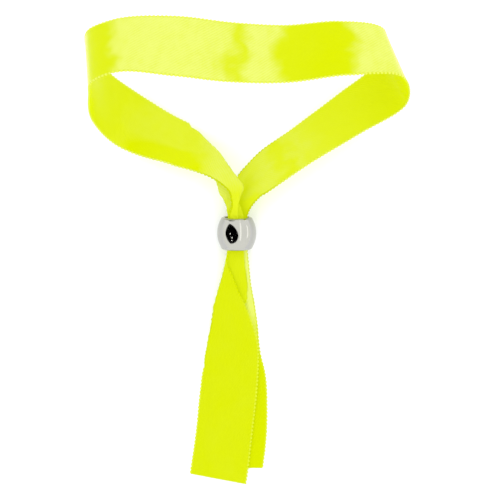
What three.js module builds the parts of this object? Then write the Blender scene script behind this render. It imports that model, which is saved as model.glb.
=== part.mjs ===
// Satin ribbon wristband with a metal slide bead, in millimetres, +Z up.
//
// One flat ribbon makes the whole band: a front tail, the loop for the wrist and a back tail.
// Both ends of the ribbon pass through the bore of one barrel-shaped bead, which slides along
// them to open or close the loop. The band rests on its bead, its tails and the lower edges of
// its legs. +Y runs from the tails to the loop and +X to the right.
//
// The ribbon is built in stretches, each one closed body, so that each can touch the table and
// leave the inside of the loop open. The stretches of one ribbon meet end to end.
import * as THREE from 'three';

// Ribbon
const RIBBON_WIDTH = 15;
const RIBBON_THICKNESS = 0.4;
const JOIN_GAP = 0.3; // left between two stretches, end to end
const LAYER_GAP = 0.3; // left between two layers lying on each other

// Bead
const BEAD_DIAMETER = 10.6;
const BEAD_LENGTH = 8.7;
const BEAD_END_DIAMETER = 8;
const BORE_DIAMETER = 6.4;
const RIM_RADIUS = 0.5;
const BEAD_PITCH = THREE.MathUtils.degToRad(9); // the loop end is lifted
const STRAND_CLEARANCE = 0.3; // between the bore and the ribbon gathered in it

// Tails
const FRONT_TAIL_REACH = 67; // from the bead's middle to the cut end
const BACK_TAIL_REACH = 64.3;
const TAIL_ROOT_REACH = 38; // where the gathers have opened out flat
const FRONT_CUT_ANGLE = THREE.MathUtils.degToRad(-10);
const BACK_CUT_ANGLE = 0;
const FRONT_CUT_MIDDLE = new THREE.Vector2(-5.1, -FRONT_TAIL_REACH);
const BACK_CUT_MIDDLE = new THREE.Vector2(-0.6, -BACK_TAIL_REACH);

// Loop: how far its parts are from the bead's middle
const LOOP_HALF_WIDTH = 37.5; // to the middle of the ribbon in the left bend
const LOOP_DEPTH = 46; // along Y, to the middle of the plain band
const LOOP_RISE = 39; // height of the band's highest point above the table

// Fineness of the meshes
const BEAD_SIDES = 48;
const BARREL_STEPS = 10;
const RIM_STEPS = 3;
const STEPS_PER_STATION = 4;
const COLUMNS = 8;

const BEAD_RADIUS = BEAD_DIAMETER / 2;
const BORE_RADIUS = BORE_DIAMETER / 2;
const BEAD_HALF_LENGTH = BEAD_LENGTH / 2;
const STRAND_RADIUS = BORE_RADIUS - STRAND_CLEARANCE;
const STRAND_WIDTH = 1.9 * STRAND_RADIUS;

// Radius of the barrel's long curve, from its bulge over half the bead's length
const BULGE = BEAD_RADIUS - BEAD_END_DIAMETER / 2;
const BARREL_RADIUS = (BEAD_HALF_LENGTH ** 2 + BULGE ** 2) / (2 * BULGE);
const BEAD_HEIGHT = BARREL_RADIUS - (BARREL_RADIUS - BEAD_RADIUS) * Math.cos(BEAD_PITCH);

const satin = new THREE.MeshStandardMaterial({ color: 0xdeef00, roughness: 0.45, metalness: 0 });
const chrome = new THREE.MeshStandardMaterial({ color: 0xd2d2cc, roughness: 0.12, metalness: 1 });

// ---------------------------------------------------------------- bead

function arcPoints(centreR, centreY, radius, from, to, steps) {
  const points = [];
  for (let i = 0; i <= steps; i += 1) {
    const angle = THREE.MathUtils.lerp(from, to, i / steps);
    points.push(new THREE.Vector2(centreR + radius * Math.cos(angle), centreY + radius * Math.sin(angle)));
  }
  return points;
}

// Barrel outside, straight bore, rims rounded into the bore
function beadProfile() {
  const half = BEAD_HALF_LENGTH;
  const rim = BORE_RADIUS + RIM_RADIUS;
  const swing = Math.asin(half / BARREL_RADIUS);
  const barrel = arcPoints(BEAD_RADIUS - BARREL_RADIUS, 0, BARREL_RADIUS, -swing, swing, BARREL_STEPS);
  const top = arcPoints(rim, half - RIM_RADIUS, RIM_RADIUS, Math.PI / 2, Math.PI, RIM_STEPS);
  const bottom = arcPoints(rim, -half + RIM_RADIUS, RIM_RADIUS, Math.PI, 1.5 * Math.PI, RIM_STEPS);
  const profile = [...barrel, ...top, ...bottom];
  profile.push(profile[0].clone());
  return profile;
}

function slideBead() {
  const bead = new THREE.Mesh(new THREE.LatheGeometry(beadProfile(), BEAD_SIDES), chrome);
  bead.name = 'slide_bead';
  bead.position.z = BEAD_HEIGHT;
  bead.rotation.x = BEAD_PITCH;
  return bead;
}

// ---------------------------------------------------------------- ribbon route

// A station of the ribbon: the middle of its width, the direction across it (from selvedge A
// to selvedge B), its width as gathered, and how far it is gathered (0 flat, 1 filling half
// the bore).
function station(at, across, width = RIBBON_WIDTH, gather = 0) {
  return { at: new THREE.Vector3(...at), across: new THREE.Vector3(...across), width, gather };
}

// A gathered station on the bore's axis, counted from the bead's middle towards the loop
function inBore(along, across) {
  const at = [0, along * Math.cos(BEAD_PITCH), BEAD_HEIGHT + along * Math.sin(BEAD_PITCH)];
  return station(at, across, STRAND_WIDTH, 1);
}

const BACK_LEVEL = RIBBON_THICKNESS / 2;
const FRONT_LEVEL = BACK_LEVEL + RIBBON_THICKNESS + LAYER_GAP;
const EXIT = BEAD_HALF_LENGTH + 1; // where a strand is clear of the bead's end

// The ribbon's whole way: in through the bore from the front tail, round the loop and out
// again over the back tail. Its upper strand is the front tail's and the left leg's.
const ROUTE = {
  frontRoot: station([-1.8, -TAIL_ROOT_REACH, FRONT_LEVEL], [-1, 0.03, 0]),
  frontOpen: station([-1.1, -28, 1.4], [-1, 0, 0], 12.6, 0.1),
  frontFan: station([-0.7, -17, 2.9], [-1, 0, 0], 8.8, 0.45),
  frontExit: inBore(-EXIT, [-1, 0, 0]),
  upperBore: inBore(0, [-1, 0, 0]),
  leftExit: inBore(EXIT, [-1, 0, 0]),
  leftNeck: station([-1.3, 10, 6.7], [-1, 0, 0], 5.8, 0.8),
  leftCrossing: station([-3.3, 14.6, 6.8], [-0.97, -0.2, 0.05], 6.8, 0.5),
  leftPleat: station([-8.5, 19.5, 6.4], [-0.75, -0.6, 0.25], 9, 0.2),
  leftFoot: station([-14.5, 23.5, 5.6], [-0.38, -0.7, 0.61]),
  leftLeg: station([-27.5, 29.5, 5.5], [-0.42, -0.87, 0.25]),
  leftBendFoot: station([-LOOP_HALF_WIDTH + 1.5, 36, 15], [-0.2, -0.9, 0.36]),
  leftBend: station([-LOOP_HALF_WIDTH - 0.5, 42, 28.5], [0.1, -0.92, 0.4]),
  leftBendTop: station([-LOOP_HALF_WIDTH + 7, LOOP_DEPTH + 0.5, LOOP_RISE], [0.04, -0.91, 0.42]),
  bandLeft: station([-15.5, LOOP_DEPTH + 0.5, LOOP_RISE], [-0.02, -0.98, 0.18]),
  bandMiddle: station([-1.5, LOOP_DEPTH - 0.5, LOOP_RISE - 4.5], [0, -0.99, 0.15]),
  bandRight: station([13, LOOP_DEPTH - 0.5, LOOP_RISE - 8], [0.08, -0.97, 0.24]),
  rightBendTop: station([27.5, LOOP_DEPTH + 1, LOOP_RISE - 8.5], [0.11, -0.93, 0.35]),
  rightBend: station([LOOP_HALF_WIDTH + 3, LOOP_DEPTH + 0.5, LOOP_RISE - 14], [0.26, -0.84, 0.47]),
  rightBendFoot: station([LOOP_HALF_WIDTH + 4, 40, 13.5], [0.43, -0.8, 0.42]),
  rightLeg: station([29.5, 31.5, 10], [0.37, -0.7, 0.61]),
  rightFoot: station([17.5, 23.5, 8.3], [0.32, -0.62, 0.72]),
  rightPleat: station([6.6, 15.6, 6.2], [0.45, -0.6, 0.66], 12.5, 0.1),
  rightNeck: station([2.2, 10, 5.2], [0.9, -0.3, 0.2], 7.5, 0.6),
  rightExit: inBore(EXIT, [1, 0, 0]),
  lowerBore: inBore(0, [1, 0, 0]),
  backExit: inBore(-EXIT, [1, 0, 0]),
  backFan: station([0.8, -17, 2.2], [1, 0, 0], 8.8, 0.45),
  backOpen: station([1, -28, 0.75], [1, 0, 0], 12.6, 0.1),
  backRoot: station([0.6, -TAIL_ROOT_REACH, BACK_LEVEL], [1, 0, 0]),
};
const PLACES = Object.keys(ROUTE);
const STATIONS = Object.values(ROUTE);
const SEGMENTS = STATIONS.length - 1;
const middleCurve = new THREE.CatmullRomCurve3(STATIONS.map((s) => s.at), false, 'centripetal');
const acrossCurve = new THREE.CatmullRomCurve3(STATIONS.map((s) => s.across), false, 'catmullrom');

// ---------------------------------------------------------------- ribbon bodies

// Joins closed rings of points into one body, with a cap on each end
function loft(rings) {
  const perRing = rings[0].length;
  const columns = perRing / 2;
  const index = [];
  const quad = (a, b, c, d) => index.push(a, b, c, a, c, d);
  for (let i = 0; i + 1 < rings.length; i += 1) {
    for (let j = 0; j < perRing; j += 1) {
      const next = (j + 1) % perRing;
      quad(i * perRing + j, i * perRing + next, (i + 1) * perRing + next, (i + 1) * perRing + j);
    }
  }
  const last = (rings.length - 1) * perRing;
  for (let j = 0; j + 1 < columns; j += 1) {
    const across = perRing - 1 - j;
    quad(j, across, across - 1, j + 1);
    quad(last + j, last + j + 1, last + across - 1, last + across);
  }
  const geometry = new THREE.BufferGeometry();
  geometry.setFromPoints(rings.flat());
  geometry.setIndex(index);
  geometry.computeVertexNormals();
  return geometry;
}

// The ribbon's own thickness, or half the bore's round where it is gathered
function strandDepth(u) {
  const x = (u * STRAND_WIDTH) / 2;
  return Math.sqrt(STRAND_RADIUS ** 2 - x ** 2) - LAYER_GAP / 2;
}

function ringAt(at, across, tangent, width, gather, side) {
  const normal = new THREE.Vector3().crossVectors(tangent, across).normalize();
  const square = new THREE.Vector3().crossVectors(normal, tangent).normalize();
  const near = THREE.MathUtils.lerp((-side * RIBBON_THICKNESS) / 2, (side * LAYER_GAP) / 2, gather);
  const inner = [];
  const outer = [];
  for (let j = 0; j < COLUMNS; j += 1) {
    const u = -1 + (2 * j) / (COLUMNS - 1);
    const deep = side * strandDepth(u);
    const far = THREE.MathUtils.lerp((side * RIBBON_THICKNESS) / 2, (side * LAYER_GAP) / 2 + deep, gather);
    const foot = at.clone().addScaledVector(square, (u * width) / 2);
    inner.push(foot.clone().addScaledVector(normal, Math.min(near, far)));
    outer.push(foot.clone().addScaledVector(normal, Math.max(near, far)));
  }
  return [...inner, ...outer.reverse()];
}

// How much of the route's parameter covers half the joining gap at t
function trimAt(t) {
  const step = 0.001;
  const speed = middleCurve.getPoint(t - step).distanceTo(middleCurve.getPoint(t + step)) / (2 * step);
  return JOIN_GAP / 2 / speed;
}

// The stretch of ribbon between two places on the route, held back by half the joining gap at
// each end. side is +1 for the upper strand and -1 for the lower one.
function stretch(name, fromPlace, toPlace, side = 1) {
  const first = PLACES.indexOf(fromPlace);
  const last = PLACES.indexOf(toPlace);
  const start = first / SEGMENTS;
  const end = last / SEGMENTS;
  const begin = first === 0 ? 0 : start + trimAt(start);
  const stop = last === SEGMENTS ? 1 : end - trimAt(end);
  const steps = STEPS_PER_STATION * (last - first);
  const rings = [];
  for (let i = 0; i <= steps; i += 1) {
    const t = THREE.MathUtils.lerp(begin, stop, i / steps);
    const place = t * SEGMENTS;
    const here = Math.min(Math.floor(place), SEGMENTS - 1);
    const share = THREE.MathUtils.smoothstep(place - here, 0, 1);
    const width = THREE.MathUtils.lerp(STATIONS[here].width, STATIONS[here + 1].width, share);
    const gather = THREE.MathUtils.lerp(STATIONS[here].gather, STATIONS[here + 1].gather, share);
    const tangent = middleCurve.getTangent(t);
    rings.push(ringAt(middleCurve.getPoint(t), acrossCurve.getPoint(t), tangent, width, gather, side));
  }
  const mesh = new THREE.Mesh(loft(rings), satin);
  mesh.name = name;
  return mesh;
}

// The open end of a tail: flat, with a straight cut. It starts a joining gap beyond the route's
// end at t, square to it; outward is the way from the route's end to the cut.
function tailEnd(name, t, outward, end, cutAngle, level) {
  const half = RIBBON_WIDTH / 2;
  const root = middleCurve.getPoint(t);
  const tangent = middleCurve.getTangent(t);
  const away = new THREE.Vector2(tangent.x, tangent.y).normalize().multiplyScalar(outward);
  const start = new THREE.Vector2(root.x, root.y).addScaledVector(away, JOIN_GAP);
  const square = new THREE.Vector2(-away.y, away.x).multiplyScalar(half);
  const cut = new THREE.Vector2(Math.cos(cutAngle), Math.sin(cutAngle)).multiplyScalar(half);
  const corners = [
    start.clone().sub(square),
    end.clone().sub(cut),
    end.clone().add(cut),
    start.clone().add(square),
  ];
  const options = { depth: RIBBON_THICKNESS, bevelEnabled: false };
  const mesh = new THREE.Mesh(new THREE.ExtrudeGeometry(new THREE.Shape(corners), options), satin);
  mesh.name = name;
  mesh.position.z = level - RIBBON_THICKNESS / 2;
  return mesh;
}

const ribbon = new THREE.Group();
ribbon.add(
  stretch('tail_front_root', 'frontRoot', 'upperBore'),
  stretch('neck_left', 'upperBore', 'leftFoot'),
  stretch('loop_leg_left', 'leftFoot', 'leftBendFoot'),
  stretch('loop_bend_left', 'leftBendFoot', 'leftBendTop'),
  stretch('loop_band_left', 'leftBendTop', 'bandMiddle'),
  stretch('loop_band_right', 'bandMiddle', 'rightBendTop'),
  stretch('loop_bend_right', 'rightBendTop', 'rightBendFoot'),
  stretch('loop_leg_right', 'rightBendFoot', 'rightFoot'),
  stretch('neck_right', 'rightFoot', 'lowerBore', -1),
  stretch('tail_back_root', 'lowerBore', 'backRoot', -1),
  tailEnd('tail_front_end', 0, -1, FRONT_CUT_MIDDLE, FRONT_CUT_ANGLE, FRONT_LEVEL),
  tailEnd('tail_back_end', 1, 1, BACK_CUT_MIDDLE, BACK_CUT_ANGLE, BACK_LEVEL),
);

// The whole band, with its origin on the table under the middle of its box
const wristband = new THREE.Group();
wristband.add(slideBead(), ribbon);
wristband.updateMatrixWorld(true);
const box = new THREE.Box3().setFromObject(wristband, true);
const centre = box.getCenter(new THREE.Vector3());
wristband.position.set(-centre.x, -centre.y, -box.min.z);

export default wristband;
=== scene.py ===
"""A satin ribbon wristband with a chrome slide bead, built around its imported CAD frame.

Lengths are in millimetres in the tables below and in metres in the scene. The ribbon's places
are counted from the middle of the bead (+X right, +Y towards the loop) and up from the table.
"""

import math

import bpy
import numpy as np
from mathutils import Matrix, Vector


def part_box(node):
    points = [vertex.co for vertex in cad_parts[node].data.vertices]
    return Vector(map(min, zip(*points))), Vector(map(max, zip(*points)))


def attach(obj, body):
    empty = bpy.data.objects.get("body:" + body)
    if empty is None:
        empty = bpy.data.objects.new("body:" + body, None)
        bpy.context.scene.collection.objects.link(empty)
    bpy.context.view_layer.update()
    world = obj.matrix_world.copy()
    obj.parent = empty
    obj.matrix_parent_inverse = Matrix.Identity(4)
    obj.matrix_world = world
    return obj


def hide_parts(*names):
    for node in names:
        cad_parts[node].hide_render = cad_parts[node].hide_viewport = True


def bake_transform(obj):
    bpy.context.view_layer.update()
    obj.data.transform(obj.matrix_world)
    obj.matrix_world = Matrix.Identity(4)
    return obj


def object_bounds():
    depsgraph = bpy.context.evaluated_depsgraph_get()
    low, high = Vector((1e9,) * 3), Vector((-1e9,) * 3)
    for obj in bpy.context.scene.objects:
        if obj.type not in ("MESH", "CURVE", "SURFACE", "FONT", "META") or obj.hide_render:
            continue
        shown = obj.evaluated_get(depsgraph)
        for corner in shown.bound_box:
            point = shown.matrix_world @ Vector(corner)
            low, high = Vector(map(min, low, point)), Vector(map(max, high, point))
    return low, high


MM = 0.001

# ---------------------------------------------------------------- driving dimensions

RIBBON_WIDTH = 15.0
PLY = 0.26  # thickness of the ribbon's cloth
FOLD_SOFTNESS = 0.32  # how far a fold is rounded off, across the ribbon
COLUMNS = 60  # quads across the ribbon
FINE_STEPS = 6  # steps to a quad while a section's folds are softened
ROW_PITCH = 0.5  # length of a quad along it

SELVEDGE_RADIUS = 0.27
SELVEDGE_FLATNESS = 0.8  # its thickness over its width
SELVEDGE_OVERLAP = 0.6  # share of its radius that lies over the cloth
STITCH_LENGTH = 1.05
STITCH_WAIST = 0.55  # radius between two stitches, in selvedge radii
STITCH_SWELL = 0.6  # how much that grows at the middle of a stitch
SELVEDGE_SIDES = 8
SELVEDGE_PITCH = 0.15  # length of a quad along it

BEAD_RADIUS = 5.3
BEAD_END_RADIUS = 4.0
BEAD_HALF_LENGTH = 4.35
BEAD_PITCH = math.radians(9)  # the loop's end is lifted
BEAD_HEIGHT = 5.33  # of its middle, above the table
BORE_RADIUS = 3.2
RIM_WIDTH = 0.8  # rounded edge at each end, across and along
RIM_DEPTH = 0.48
BORE_RIM = 0.3  # rounding between the end and the bore
BEAD_SIDES = 160
BARREL_STEPS = 40
RIM_STEPS = 10

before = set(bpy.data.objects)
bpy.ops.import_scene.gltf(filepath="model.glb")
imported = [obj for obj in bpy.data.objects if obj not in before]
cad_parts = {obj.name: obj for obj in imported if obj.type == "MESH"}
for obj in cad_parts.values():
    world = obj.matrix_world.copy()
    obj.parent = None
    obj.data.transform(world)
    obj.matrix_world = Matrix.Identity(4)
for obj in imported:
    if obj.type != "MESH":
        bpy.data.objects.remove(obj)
CAD_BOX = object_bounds()
bead_low, bead_high = (np.array(c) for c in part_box("slide_bead"))
BEAD_MIDDLE = (bead_low + bead_high) / 2
FLOOR = float(CAD_BOX[0][2])
ORIGIN = np.array([BEAD_MIDDLE[0], BEAD_MIDDLE[1], FLOOR])


# ---------------------------------------------------------------- ribbon sections
#
# A section is five points across the ribbon, from selvedge A to selvedge B. The three between
# them are where it is folded, or lie on the straight where it is flat.


def flat(middle, across, folds):
    across = np.array(across, float)
    half = across / np.linalg.norm(across) * RIBBON_WIDTH / 2
    middle = np.array(middle, float)
    return [middle + half * (2 * f - 1) for f in (0, *folds, 1)]


def in_bore(along, points):
    """A gathered section in the bore, from (x, height over the axis) points."""
    y = along * math.cos(BEAD_PITCH)
    axis = BEAD_HEIGHT + along * math.sin(BEAD_PITCH)
    return [(x, y, axis + up) for x, up in points]


def level(y, points):
    """A section square to the tails, from (x, z) points."""
    return [(x, y, z) for x, z in points]


# The upper strand through the bead is the front tail's and the left leg's, the lower one the
# right leg's and the back tail's.

# Left strand: rolled in the bore, then folded in half, selvedges on the left.
LEFT_STRAND = [
    in_bore(0.1, [(-1.8, 0.3), (2.2, 0.7), (-2.4, 1.2), (1.2, 2.0), (-1.4, 2.2)]),
    in_bore(5.0, [(-1.8, 0.3), (2.0, 0.8), (-2.7, 1.4), (0.6, 2.1), (-1.8, 2.4)]),
    level(7.3, [(-1.5, 6.5), (1.2, 7.2), (-3.1, 7.8), (0.7, 8.5), (-1.1, 9.0)]),
    [(-1.6, 9.1, 6.0), (0.4, 9.2, 6.4), (-3.8, 8.7, 7.5), (1.4, 9.9, 8.3), (-1.3, 9.1, 9.1)],
    [(-1.0, 11.3, 5.8), (-0.8, 11.4, 6.0), (-4.5, 9.9, 7.3), (2.2, 12.5, 8.1), (-1.7, 10.9, 9.1)],
    [(-2.0, 13.3, 5.4), (-1.8, 13.4, 5.6), (-5.1, 11.6, 7.0), (0.4, 15.1, 7.6), (-3.2, 12.6, 9.1)],
    [(-4.0, 16.4, 5.1), (-3.9, 16.5, 5.2), (-6.1, 14.8, 6.4), (-1.8, 18.1, 6.8), (-6.2, 14.7, 8.9)],
    [(-9.2, 17.1, 4.4), (-8.7, 17.7, 4.5), (-8.2, 18.3, 4.6), (-4.9, 22.4, 5.7), (-9.9, 16.3, 9.0)],
    [(-10.9, 22.3, 1.4), (-10.3, 23.1, 1.6), (-9.7, 23.9, 1.8), (-8.3, 25.7, 2.8), (-13.6, 17.4, 9.6)],
    [(-11.9, 26.2, 0.9), (-11.4, 26.5, 1.0), (-11.0, 27.0, 1.1), (-10.4, 27.9, 1.6), (-16.0, 18.0, 9.9)],
]
LEFT_FOLDS = (0.01, 0.02, 0.03)

# The loop, from the foot of the left leg over the plain band to the foot of the right: the
# ribbon's middle, and the way from selvedge A to selvedge B.
LOOP = [
    ((-16.0, 24.4, 5.5), (-0.38, -0.72, 0.58)),
    ((-17.3, 24.9, 5.5), (-0.38, -0.735, 0.56)),
    ((-20.0, 25.9, 5.4), (-0.39, -0.77, 0.49)),
    ((-27.5, 29.5, 5.5), (-0.42, -0.87, 0.25)),
    ((-36.0, 36.0, 15.0), (-0.2, -0.9, 0.36)),
    ((-38.2, 42.0, 28.5), (0.1, -0.92, 0.4)),
    ((-36.8, 44.5, 35.2), (0.08, -0.91, 0.41)),
    ((-30.5, 46.5, 39.0), (0.04, -0.91, 0.42)),
    ((-15.5, 46.5, 39.0), (-0.02, -0.98, 0.18)),
    ((-1.5, 45.5, 34.5), (0.0, -0.99, 0.15)),
    ((13.0, 45.5, 31.0), (0.08, -0.97, 0.24)),
    ((27.5, 47.0, 30.5), (0.11, -0.93, 0.35)),
    ((40.5, 46.5, 25.0), (0.26, -0.84, 0.47)),
    ((41.5, 40.0, 13.5), (0.43, -0.8, 0.42)),
    ((29.5, 31.5, 10.0), (0.37, -0.7, 0.61)),
    ((17.5, 23.5, 8.3), (0.32, -0.62, 0.72)),
]

# Right strand: steep, with selvedge B on top, passing under the left one.
RIGHT_FOLDS = (0.25, 0.5, 0.75)
RIGHT_STRAND = [
    [(3.6, 19.3, 0.5), (4.3, 17.6, 2.3), (5.0, 15.9, 4.1), (5.8, 14.3, 6.3), (7.9, 10.8, 11.4)],
    [(0.2, 15.2, 0.8), (0.9, 14.1, 2.1), (1.7, 12.9, 3.4), (2.9, 11.4, 5.4), (6.3, 9.8, 10.9)],
    [(-1.8, 8.8, 3.2), (1.0, 8.6, 4.0), (-2.4, 9.0, 5.0), (1.2, 8.0, 6.2), (3.9, 7.2, 8.6)],
    in_bore(5.0, [(-1.8, -2.0), (2.2, -1.3), (-2.4, -0.6), (2.0, -0.2), (2.8, 0.6)]),
    in_bore(0.1, [(-1.8, -2.1), (2.2, -1.4), (-2.4, -0.8), (2.3, -0.3), (2.7, 0.3)]),
]

# The front tail's margin A is folded under along its left side, and opens out on the way down.
TAIL_FRONT = [
    in_bore(-0.1, [(1.5, 0.5), (-2.4, 1.0), (2.1, 1.6), (-2.4, 1.9), (-1.6, 2.2)]),
    in_bore(-5.0, [(1.5, 0.4), (-2.6, 0.9), (2.2, 1.4), (-2.7, 1.7), (-2.2, 2.1)]),
    level(-8.0, [(0.6, 4.5), (-2.6, 4.9), (2.4, 5.4), (-3.3, 5.5), (-2.8, 6.0)]),
    level(-11.5, [(1.8, 3.9), (-0.6, 4.2), (3.0, 4.5), (-4.2, 4.4), (-1.5, 5.1)]),
    level(-15.5, [(2.6, 3.2), (2.2, 3.3), (3.2, 3.6), (-5.4, 3.4), (0.1, 4.2)]),
    level(-19.0, [(2.2, 2.6), (1.9, 2.6), (1.5, 2.7), (-6.4, 2.7), (1.7, 3.5)]),
    level(-25.0, [(-3.0, 1.5), (-3.6, 1.5), (-4.2, 1.5), (-7.4, 1.7), (4.1, 2.2)]),
    level(-30.5, [(-6.3, 0.8), (-6.8, 0.8), (-7.3, 0.9), (-8.4, 1.1), (5.5, 1.4)]),
    level(-36.0, [(-8.6, 0.6), (-8.7, 0.6), (-8.8, 0.65), (-9.1, 0.8), (5.6, 1.0)]),
    level(-43.0, [(-9.7, 0.35), (-9.3, 0.35), (-8.3, 0.45), (-6.8, 0.8), (5.2, 0.9)]),
    level(-53.9, [(-10.8, 0.3), (-9.8, 0.3), (-8.2, 0.35), (-6.8, 0.75), (4.0, 0.8)]),
    [(-12.0, -62.5, 0.25), (-10.5, -62.7, 0.25), (-8.7, -63.0, 0.3), (-7.2, -63.2, 0.7), (2.8, -64.3, 0.75)],
    [(-12.5, -65.9, 0.25), (-11.0, -66.2, 0.25), (-9.2, -66.5, 0.25), (-7.5, -66.8, 0.6), (2.2, -68.6, 0.6)],
]

# The back tail lies on the table, its right margin curling down.
TAIL_BACK = [
    in_bore(-0.1, [(-1.8, -2.1), (2.2, -1.4), (-2.5, -0.8), (2.3, -0.2), (2.6, -0.7)]),
    in_bore(-5.0, [(-1.8, -2.0), (2.2, -1.4), (-2.5, -0.6), (2.2, -0.1), (2.7, -1.0)]),
    level(-8.0, [(-2.0, 2.3), (2.2, 2.8), (-2.6, 3.6), (2.3, 4.0), (3.0, 2.8)]),
    level(-14.0, [(-0.4, 1.4), (1.6, 1.6), (-3.3, 2.5), (2.6, 2.8), (3.6, 1.4)]),
    level(-19.0, [(0.6, 0.8), (1.4, 0.8), (-4.2, 1.5), (3.2, 2.1), (4.5, 0.9)]),
    level(-24.5, [(-1.6, 0.4), (-2.4, 0.4), (-5.6, 0.7), (3.8, 1.5), (5.3, 0.5)]),
    level(-33.0, [(-6.6, 0.25), (-7.0, 0.25), (-7.6, 0.3), (5.0, 0.7), (6.2, 0.3)]),
    level(-38.0, [(-7.6, 0.2), (-7.4, 0.2), (-7.0, 0.2), (5.6, 0.3), (7.4, 0.2)]),
    level(-48.4, [(-7.0, 0.2), (-6.5, 0.2), (-6.0, 0.2), (6.0, 0.2), (8.0, 0.2)]),
    level(-58.0, [(-7.4, 0.2), (-6.9, 0.2), (-6.4, 0.2), (5.6, 0.2), (7.6, 0.2)]),
    level(-64.3, [(-8.2, 0.2), (-7.7, 0.2), (-7.2, 0.2), (4.8, 0.2), (6.8, 0.2)]),
]


def distances(points):
    """How far along the line through points each of them is."""
    return np.r_[0, np.cumsum(np.linalg.norm(np.diff(points, axis=0), axis=1))]


def sampled(at, along, values):
    """values, a row of three for each distance in along, at other distances."""
    return np.stack([np.interp(at, along, values[:, k]) for k in range(3)], 1)


def round_off(points):
    """COLUMNS + 1 points evenly along a section, with its folds softened."""
    along = distances(points)
    fine = np.linspace(0, along[-1], FINE_STEPS * COLUMNS + 1)
    dense = sampled(fine, along, points)
    spread = FOLD_SOFTNESS / (fine[1] - fine[0])
    reach = int(3 * spread)
    weights = np.exp(-0.5 * (np.arange(-reach, reach + 1) / spread) ** 2)
    weights /= weights.sum()
    before = 2 * dense[0] - dense[reach:0:-1]
    after = 2 * dense[-1] - dense[-2 : -reach - 2 : -1]
    padded = np.concatenate([before, dense, after])
    soft = np.stack([np.convolve(padded[:, k], weights, "valid") for k in range(3)], 1)
    along = distances(soft)
    return sampled(np.linspace(0, along[-1], COLUMNS + 1), along, soft)


def spline(knots, values, at):
    """A smooth curve through values, one entry to each knot, by cubic Hermite pieces."""
    slopes = np.gradient(values, knots, axis=0)
    i = np.clip(np.searchsorted(knots, at, side="right") - 1, 0, len(knots) - 2)
    span = knots[i + 1] - knots[i]
    u = (at - knots[i]) / span
    shape = (-1,) + (1,) * (values.ndim - 1)
    u, span = u.reshape(shape), span.reshape(shape)
    a, b = values[i], values[i + 1]
    da, db = slopes[i] * span, slopes[i + 1] * span
    return (
        (2 * u**3 - 3 * u**2 + 1) * a
        + (u**3 - 2 * u**2 + u) * da
        + (3 * u**2 - 2 * u**3) * b
        + (u**3 - u**2) * db
    )


def ribbon_grid(*halves):
    """Rows of points on the ribbon's middle surface, and each row's distance along it.

    A ribbon that is flat in its middle and folded at both ends is given twice, for its two
    halves, with the folds of one end in each."""
    halves = [np.array(half, float) for half in halves]
    knots = distances([round_off(section).mean(axis=0) for section in halves[0]])
    at = np.linspace(0, knots[-1], int(round(knots[-1] / ROW_PITCH)) + 1)
    rows = []
    for k, half in enumerate(halves):
        here = (at * len(halves) / knots[-1]).astype(int).clip(0, len(halves) - 1) == k
        rows += [round_off(section) for section in spline(knots, half, at[here])]
    return np.stack(rows), at


def surface_normals(grid):
    along = np.gradient(grid, axis=0)
    across = np.gradient(grid, axis=1)
    normals = np.cross(along, across)
    return normals / np.maximum(np.linalg.norm(normals, axis=2, keepdims=True), 1e-9)


# ---------------------------------------------------------------- making meshes


def make_object(name, points, faces, places, materials, material_of_face):
    """A mesh object from design points in millimetres, with each point's place on the cloth."""
    mesh = bpy.data.meshes.new(name)
    mesh.from_pydata((np.asarray(points) * MM + ORIGIN).tolist(), [], np.asarray(faces).tolist())
    mesh.update()
    mesh.polygons.foreach_set("use_smooth", [True] * len(mesh.polygons))
    mesh.polygons.foreach_set("material_index", np.asarray(material_of_face, np.int32))
    layer = mesh.attributes.new("place", "FLOAT_VECTOR", "POINT")
    layer.data.foreach_set("vector", np.asarray(places, np.float32).ravel())
    for material in materials:
        mesh.materials.append(material)
    made = bpy.data.objects.new(name, mesh)
    bpy.context.scene.collection.objects.link(made)
    return made


def tube_faces(rows, columns, start=0, ring=False):
    """Quads of a grid of points numbered row by row, closed across the rows and, if it is a
    ring, along them too."""
    i, j = np.meshgrid(np.arange(rows if ring else rows - 1), np.arange(columns), indexing="ij")
    far, side = (i + 1) % rows, (j + 1) % columns
    corners = [i * columns + j, i * columns + side, far * columns + side, far * columns + j]
    return np.stack([c.ravel() for c in corners], 1) + start


def cloth_solid(grid, along):
    """A closed thin solid round the ribbon's middle surface."""
    rows, columns = grid.shape[:2]
    shift = surface_normals(grid) * PLY / 2
    upper, lower = grid + shift, grid - shift
    loop = np.concatenate([upper, lower[:, ::-1]], axis=1)
    across = np.linspace(-RIBBON_WIDTH / 2, RIBBON_WIDTH / 2, columns)
    places = np.zeros(loop.shape)
    places[..., 0] = np.r_[across, across[::-1]]
    places[..., 1] = along[:, None]
    places[:, columns:, 2] = 1
    ends = []
    for row, turn in ((0, -1), (rows - 1, 1)):
        first = row * 2 * columns
        for j in range(columns - 1):
            far = 2 * columns - 1 - j
            ends.append([first + j, first + j + 1, first + far - 1, first + far][::turn])
    faces = np.concatenate([tube_faces(rows, 2 * columns), ends])
    return loop.reshape(-1, 3), faces, places.reshape(-1, 3)


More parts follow.
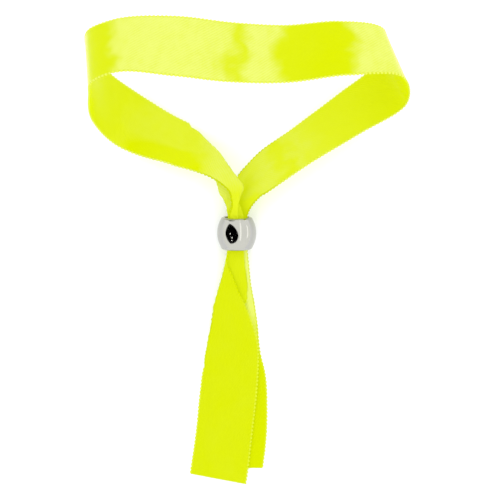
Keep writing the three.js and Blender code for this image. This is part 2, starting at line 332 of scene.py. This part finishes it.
def selvedge(grid, column, start):
    """The stitched edge: a row of small picots along one side of the ribbon."""
    edge, inner = grid[:, column], grid[:, 1 if column == 0 else -2]
    length = distances(edge)
    at = np.linspace(0, length[-1], int(length[-1] / SELVEDGE_PITCH))
    middle = sampled(at, length, edge)
    up = sampled(at, length, surface_normals(grid)[:, column])
    out = middle - sampled(at, length, inner)
    out /= np.linalg.norm(out, axis=1, keepdims=True)
    swell = np.abs(np.sin(math.pi * at / STITCH_LENGTH))
    radius = SELVEDGE_RADIUS * (STITCH_WAIST + STITCH_SWELL * swell)
    middle = middle + out * (radius - SELVEDGE_RADIUS * SELVEDGE_OVERLAP)[:, None]
    turn = np.linspace(0, 2 * math.pi, SELVEDGE_SIDES, endpoint=False)
    ring = (
        np.cos(turn)[None, :, None] * out[:, None]
        + SELVEDGE_FLATNESS * np.sin(turn)[None, :, None] * up[:, None]
    )
    points = middle[:, None] + radius[:, None, None] * ring
    places = np.zeros(points.shape)
    places[..., 0] = np.sign(column + 0.5) * -RIBBON_WIDTH / 2
    places[..., 1] = at[:, None]
    places[..., 2] = swell[:, None]
    faces = tube_faces(len(at), SELVEDGE_SIDES, start)
    return points.reshape(-1, 3), faces, places.reshape(-1, 3)


def ribbon_piece(name, cloth, stitches, *halves):
    """One stretch of ribbon with both its selvedges, and its length."""
    grid, along = ribbon_grid(*halves)
    points, faces, places = cloth_solid(grid, along)
    kinds = np.zeros(len(faces), int)
    for column in (0, -1):
        more = selvedge(grid, column, len(points))
        points, places = np.concatenate([points, more[0]]), np.concatenate([places, more[2]])
        faces = np.concatenate([faces, more[1]])
        kinds = np.r_[kinds, np.ones(len(more[1]), int)]
    points[:, 2] = np.maximum(points[:, 2], 0)  # the picots lie flattened on the table
    piece = make_object(name, points, faces, places, [cloth, stitches], kinds)
    return piece, along[-1]


# ---------------------------------------------------------------- materials


class Nodes:
    """A small helper for building a node material. An input is named, with _ for a space, or
    numbered, as _0."""

    def __init__(self, name):
        self.material = bpy.data.materials.new(name)
        self.material.use_nodes = True
        self.tree = self.material.node_tree
        self.shader = self.tree.nodes["Principled BSDF"]

    def add(self, kind, settings=None, **inputs):
        node = self.tree.nodes.new(kind)
        for key, value in (settings or {}).items():
            setattr(node, key, value)
        for key, value in inputs.items():
            self.feed(node, key, value)
        return node

    def feed(self, node, key, value):
        numbered = key[0] == "_" and key[1:].isdigit()
        socket = node.inputs[int(key[1:]) if numbered else key.replace("_", " ")]
        if isinstance(value, bpy.types.NodeSocket):
            self.tree.links.new(value, socket)
        else:
            socket.default_value = value

    def maths(self, operation, a, b=0.0):
        return self.add("ShaderNodeMath", {"operation": operation}, _0=a, _1=b).outputs[0]

    def mix(self, amount, a, b):
        node = self.add("ShaderNodeMix", {"data_type": "RGBA"}, _0=amount, _6=a, _7=b)
        return node.outputs[2]

    def noise(self, vector, scale, detail=2.0, rough=0.5):
        settings = {"Vector": vector, "Scale": scale, "Detail": detail, "Roughness": rough}
        return self.add("ShaderNodeTexNoise", None, **settings).outputs["Fac"]

    def stretched(self, vector, scale):
        return self.add("ShaderNodeMapping", None, Vector=vector, Scale=scale).outputs[0]


DEEP = (0.28, 0.32, 0.0, 1)  # the satin's own colour, where no sheen is painted
INNER_PAINTED_LIGHTER = (0.33, 0.365, 0.0, 1)  # the satin painted lighter on the loop's inner face, as painted light lifting its shade
PAINTED_SHEEN_COLOUR = (0.36, 0.385, 0.12, 1)  # painted sheen: the colour of a painted highlight on the satin
PAINTED_DYE_GLOW = 0.36  # painted glow: the satin glows a little, standing in for the fluorescent dye's light and lifting its shade

# How much painted sheen, a painted highlight in the satin's colour, lies along the loop, from the bore
# over the left leg and the band to the right leg: (mm along, amount).
LOOP_PAINTED_SHEEN = [
    (0, 0.1), (8, 0.1), (13, 0.6), (20, 0.6), (28, 0.15), (40, 0.22), (52, 0.06), (64, 0.0),
    (72, 0.0), (87, 0.0), (92, 0.85), (100, 1.0), (109, 0.9), (115, 0.8), (119.5, 0.1), (124, 0.95),
    (129, 0.8), (134, 0.03), (148, 0.0), (154, 0.9), (161, 0.65), (167, 0.0), (197, 0.05),
    (203, 0.15), (207, 0.3), (211, 0.0), (217, 0.35), (226, 0.05),
]
SHEEN_SPAN = 236.0  # mm, the loop's whole length
SHEEN_WANDER = 14.0  # mm, how far the edges of the painted sheen patches stray


def clipped(n, value):
    node = n.maths("ADD", value, 0.0)
    node.node.use_clamp = True
    return node


def rising(n, value, start, width):
    """0 before start, rising to 1 over width; a negative width falls instead."""
    return clipped(n, n.maths("DIVIDE", n.maths("SUBTRACT", value, start), width))


def painted_sheen_amount(n, kind, across, along, wobble):
    """How much painted sheen, a painted highlight, there is, by the place on the ribbon in millimetres."""
    if kind == "loop":
        stray = n.maths("MULTIPLY", n.maths("SUBTRACT", wobble, 0.5), SHEEN_WANDER)
        at = n.maths("ADD", along, stray)
        ramp = n.add("ShaderNodeValToRGB", None, Fac=n.maths("DIVIDE", at, SHEEN_SPAN))
        ramp.color_ramp.interpolation = "EASE"
        stops = ramp.color_ramp.elements
        for k, (mm, amount) in enumerate(LOOP_PAINTED_SHEEN):
            stop = stops[k] if k < 2 else stops.new(mm / SHEEN_SPAN)
            stop.position = mm / SHEEN_SPAN
            stop.color = (amount, amount, amount, 1)
        # painted shade: less painted sheen in a streak along the left leg's foot, on selvedge B's side
        foot = n.maths("MULTIPLY", rising(n, along, 18, 6), rising(n, along, 46, -8))
        painted_shade_streak = n.maths("MULTIPLY", foot, rising(n, across, 1.5, 4))
        return clipped(n, n.maths("SUBTRACT", ramp.outputs[0], n.maths("MULTIPLY", painted_shade_streak, 0.5)))
    if kind == "back":  # painted sheen only on the margin that the front tail leaves bare, near the bead
        return n.maths("MULTIPLY", rising(n, across, 2.0, 3.5), rising(n, along, 32, -12))
    # on the tails, a faint painted sheen that varies at random
    return n.maths("MULTIPLY", wobble, 0.06)


def satin(name, kind, deep, painted_highlight):
    """Woven satin. The third place number is 0 on the loop's inner face and 1 on its outer one,
    or on a selvedge how near the middle of a stitch it is."""
    n = Nodes(name)
    place = n.add("ShaderNodeAttribute", {"attribute_name": "place"}).outputs["Vector"]
    across, along, third = n.add("ShaderNodeSeparateXYZ", None, Vector=place).outputs
    floats = n.noise(n.stretched(place, (4.0, 0.35, 1.0)), 1.0, 3.0, 0.6)
    wobble = n.noise(n.stretched(place, (0.17, 0.12, 0.3)), 1.0, 2.0, 0.5)
    slope = n.maths("ADD", n.maths("MULTIPLY", across, 1.4), n.maths("MULTIPLY", along, 0.9))
    wave = n.maths("SINE", n.maths("MULTIPLY", slope, 2 * math.pi))
    twill = n.maths("ADD", n.maths("MULTIPLY", wave, 0.5), 0.5)
    if kind == "stitches":  # painted highlight on each stitch's middle and painted shade between them, showing less where the loop is gathered
        open_part = n.maths("MULTIPLY", rising(n, along, 18, 8), rising(n, along, 222, -8))
        painted_light_amount = n.maths("MULTIPLY", third, open_part)
    else:
        # painted sheen: how much painted highlight the satin has here
        sheen = painted_sheen_amount(n, kind, across, along, wobble)
        if kind == "loop":
            # painted light: the loop's inner face is painted lighter than its outer one, to lift its shade
            deep = n.mix(third, INNER_PAINTED_LIGHTER, deep)
        threads = n.maths("ADD", n.maths("MULTIPLY", twill, 0.45), n.maths("MULTIPLY", floats, 0.5))
        mottle = n.noise(n.stretched(place, (0.3, 0.5, 0.3)), 1.0, 3.0, 0.6)
        # the painted highlight is broken up by the weave and a random mottle
        painted_light_amount = n.maths("MULTIPLY", sheen, n.maths("ADD", threads, 0.5))
        painted_light_amount = n.maths("MULTIPLY", painted_light_amount, n.maths("ADD", mottle, 0.5))
    # painted light: the base colour runs from the satin's own colour to a painted highlight colour
    n.feed(n.shader, "Base Color", n.mix(clipped(n, painted_light_amount), deep, painted_highlight))
    height = n.maths("ADD", n.maths("MULTIPLY", floats, 0.25), n.maths("MULTIPLY", twill, 0.35))
    weave = n.add("ShaderNodeBump", None, Height=height, Strength=0.6, Distance=0.0001)
    swells = n.noise(n.stretched(place, (0.22, 0.16, 0.3)), 1.0, 2.0, 0.5)
    soft = n.add("ShaderNodeBump", None, Height=swells, Strength=0.35, Distance=0.0005)
    n.feed(soft, "Normal", weave.outputs[0])
    n.feed(n.shader, "Normal", soft.outputs[0])
    n.feed(n.shader, "Roughness", n.maths("ADD", n.maths("MULTIPLY", floats, 0.12), 0.18))
    n.shader.inputs["IOR"].default_value = 1.6
    n.shader.inputs["Specular IOR Level"].default_value = 0.12
    n.shader.inputs["Specular Tint"].default_value = (1.0, 1.0, 0.08, 1)
    # painted glow: a faint emission in the dye's colour, standing in for the fluorescent dye's light and
    # lifting the satin's shade
    n.shader.inputs["Emission Color"].default_value = (0.85, 1.0, 0.0, 1)
    n.shader.inputs["Emission Strength"].default_value = PAINTED_DYE_GLOW
    return n.material


def chrome():
    n = Nodes("bead_chrome")
    spot = n.add("ShaderNodeTexCoord").outputs["Object"]
    smudge = n.noise(n.stretched(spot, (220, 220, 220)), 1.0, 4.0, 0.6)
    hairlines = n.noise(n.stretched(spot, (6000, 300, 6000)), 1.0, 2.0, 0.5)
    colour = n.mix(smudge, (0.365, 0.365, 0.328, 1), (0.415, 0.413, 0.374, 1))
    n.feed(n.shader, "Base Color", colour)
    n.shader.inputs["Metallic"].default_value = 1.0
    n.feed(n.shader, "Roughness", n.maths("ADD", n.maths("MULTIPLY", smudge, 0.08), 0.05))
    bump = n.add("ShaderNodeBump", None, Height=hairlines, Strength=0.05, Distance=0.00002)
    n.feed(n.shader, "Normal", bump.outputs[0])
    return n.material


LOOP_SATIN = satin("ribbon_loop_satin", "loop", DEEP, PAINTED_SHEEN_COLOUR)
FRONT_SATIN = satin("ribbon_front_satin", "front", DEEP, PAINTED_SHEEN_COLOUR)
BACK_SATIN = satin("ribbon_back_satin", "back", DEEP, PAINTED_SHEEN_COLOUR)
# the selvedges get a painted highlight on each stitch's middle and painted shade between the stitches
LOOP_STITCHES = satin("ribbon_selvedge", "stitches", (0.22, 0.25, 0.0, 1), (0.40, 0.43, 0.085, 1))
TAIL_STITCHES = satin(
    "ribbon_tail_selvedge", "stitches", (0.275, 0.315, 0.0, 1), (0.33, 0.365, 0.03, 1)
)
CHROME = chrome()

# ---------------------------------------------------------------- the ribbon

loop_halves = [
    LEFT_STRAND + [flat(*station, folds) for station in LOOP] + RIGHT_STRAND
    for folds in (LEFT_FOLDS, RIGHT_FOLDS)
]
loop, LOOP_LENGTH = ribbon_piece("ribbon_loop", LOOP_SATIN, LOOP_STITCHES, *loop_halves)
tail_front, FRONT_LENGTH = ribbon_piece("ribbon_tail_front", FRONT_SATIN, TAIL_STITCHES, TAIL_FRONT)
tail_back, BACK_LENGTH = ribbon_piece("ribbon_tail_back", BACK_SATIN, TAIL_STITCHES, TAIL_BACK)


def place(x, y, z):
    return tuple(ORIGIN + np.array([x, y, z]) * MM)


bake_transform(loop)
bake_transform(tail_front)
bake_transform(tail_back)
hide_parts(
    "neck_left", "loop_leg_left", "loop_bend_left", "loop_band_left", "loop_band_right",
    "loop_bend_right", "loop_leg_right", "neck_right",
)
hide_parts("tail_front_root", "tail_front_end")
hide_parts("tail_back_root", "tail_back_end")

# ---------------------------------------------------------------- the bead


def bead_profile():
    """(radius, along) points round the bead's wall, once round and back to the start."""
    bulge = BEAD_RADIUS - BEAD_END_RADIUS
    arc = (BEAD_HALF_LENGTH**2 + bulge**2) / (2 * bulge)
    rim_start = BEAD_HALF_LENGTH - RIM_DEPTH
    reach = math.asin(rim_start / arc)
    barrel = [
        (BEAD_RADIUS - arc + arc * math.cos(a), arc * math.sin(a))
        for a in np.linspace(-reach, reach, BARREL_STEPS + 1)
    ]
    edge = barrel[-1][0]
    quarter = np.linspace(0, math.pi / 2, RIM_STEPS + 1)
    rim = [
        (edge - RIM_WIDTH * (1 - math.cos(a)), rim_start + RIM_DEPTH * math.sin(a))
        for a in quarter[1:]
    ]
    rim += [
        (BORE_RADIUS + BORE_RIM * (1 - math.sin(a)), BEAD_HALF_LENGTH - BORE_RIM * (1 - math.cos(a)))
        for a in quarter
    ]
    return barrel + rim + [(radius, -along) for radius, along in rim[::-1]]


def make_bead():
    profile = np.array(bead_profile())
    turn = np.linspace(0, 2 * math.pi, BEAD_SIDES, endpoint=False)[:, None]
    radius, along = profile[:, 0], np.broadcast_to(profile[:, 1], (BEAD_SIDES, len(profile)))
    ring = np.stack([np.cos(turn) * radius, along, np.sin(turn) * radius], axis=2)
    cos, sin = math.cos(BEAD_PITCH), math.sin(BEAD_PITCH)
    tilt = np.array([[1, 0, 0], [0, cos, -sin], [0, sin, cos]])
    points = ring.reshape(-1, 3) @ tilt.T + np.array([0, 0, BEAD_HEIGHT])
    faces = tube_faces(BEAD_SIDES, len(profile), ring=True)
    return make_object("bead", points, faces, np.zeros(points.shape), [CHROME], np.zeros(len(faces)))


bead = make_bead()
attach(bead, "bead")
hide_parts("slide_bead")

# ---------------------------------------------------------------- studio


def stage_mesh(name, points, material):
    """One flat face of the studio, which isn't part of the wristband."""
    mesh = bpy.data.meshes.new(name)
    mesh.from_pydata(points, [], [list(range(len(points)))])
    mesh.materials.append(material)
    made = bpy.data.objects.new(name, mesh)
    bpy.context.scene.collection.objects.link(made)
    return made


def rectangle(low, high, height):
    (x0, y0), (x1, y1) = low, high
    return [(x0, y0, height), (x1, y0, height), (x1, y1, height), (x0, y1, height)]


paper = Nodes("paper")
grain = paper.noise(paper.add("ShaderNodeTexCoord").outputs["Object"], 900.0)
white = paper.mix(grain, (0.90, 0.90, 0.97, 1), (0.92, 0.92, 0.99, 1))
paper.feed(paper.shader, "Base Color", white)
paper.shader.inputs["Roughness"].default_value = 0.9
paper.shader.inputs["Specular IOR Level"].default_value = 0.1
stage_mesh("floor", rectangle((-1.5, -1.5), (1.5, 1.5), FLOOR), paper.material)

# A dark lens-shaped card overhead, which only mirror-like rays see
CARD_HEIGHT = 0.6
CARD_LEFT, CARD_RIGHT = -1.6, 0.11
CARD_HALF_LENGTH = 0.72
CARD_MIDDLE = -0.2  # along Y
CARD_POINTS = 24  # along each side
black = Nodes("dark_card")
black.shader.inputs["Base Color"].default_value = (0.0, 0.0, 0.0, 1)
black.shader.inputs["Roughness"].default_value = 1.0
black.shader.inputs["Specular IOR Level"].default_value = 0.0
lens = []
for side, other, turn in ((CARD_RIGHT, CARD_LEFT, 1), (CARD_LEFT, CARD_RIGHT, -1)):
    for t in np.linspace(-1, 1, CARD_POINTS, endpoint=False):
        y = CARD_MIDDLE + CARD_HALF_LENGTH * turn * t
        lens.append((side + (other - side) / 2 * t * t, y, CARD_HEIGHT))
card = stage_mesh("dark_card", lens, black.material)
card.visible_camera = False
card.visible_diffuse = False
card.visible_shadow = False
card.visible_transmission = False

world = bpy.data.worlds.new("white_tent")
world.use_nodes = True
world.node_tree.nodes["Background"].inputs[0].default_value = (1.0, 1.0, 1.0, 1)
world.node_tree.nodes["Background"].inputs[1].default_value = 1.6
bpy.context.scene.world = world


def softbox(name, low, high, height, strength):
    """A bright panel over the table, from corner low to corner high, for light and gleams."""
    nodes = Nodes(name)
    nodes.shader.inputs["Base Color"].default_value = (0, 0, 0, 1)
    nodes.shader.inputs["Emission Color"].default_value = (1, 1, 1, 1)
    nodes.shader.inputs["Emission Strength"].default_value = strength
    panel = stage_mesh(name, rectangle(low, high, height)[::-1], nodes.material)
    panel.visible_camera = False


STRIP_GLOW = 2.2
LAMP_GLOW = 7.5
LAMP_HEIGHT = CARD_HEIGHT - 0.005  # just under the card
softbox("strip_near", (0.22, -0.45), (0.32, 0.45), CARD_HEIGHT, STRIP_GLOW)
for k, (x, y) in enumerate([(-0.43, -0.50), (-0.36, -0.30), (-0.50, -0.12)]):
    softbox(f"lamp_{k}", (x, y), (x + 0.05, y + 0.03), LAMP_HEIGHT, LAMP_GLOW)
softbox("strip_far", (1.3, -0.6), (1.8, 0.6), CARD_HEIGHT, STRIP_GLOW)

bpy.context.scene.view_settings.view_transform = "Standard"
bpy.context.scene.view_settings.look = "None"
bpy.context.scene.view_settings.exposure = 0.0

# The camera looks straight down on the wristband's middle.
CAMERA_HEIGHT = 0.45
TABLE_SEEN = 0.137  # width of the table in the picture
camera = bpy.data.cameras.new("camera")
camera.sensor_width = 36.0
camera.lens = camera.sensor_width * CAMERA_HEIGHT / TABLE_SEEN
camera_object = bpy.data.objects.new("camera", camera)
camera_object.location = place(3.6, -4.6, CAMERA_HEIGHT / MM)
bpy.context.scene.collection.objects.link(camera_object)
bpy.context.scene.camera = camera_object

bpy.context.view_layer.update()
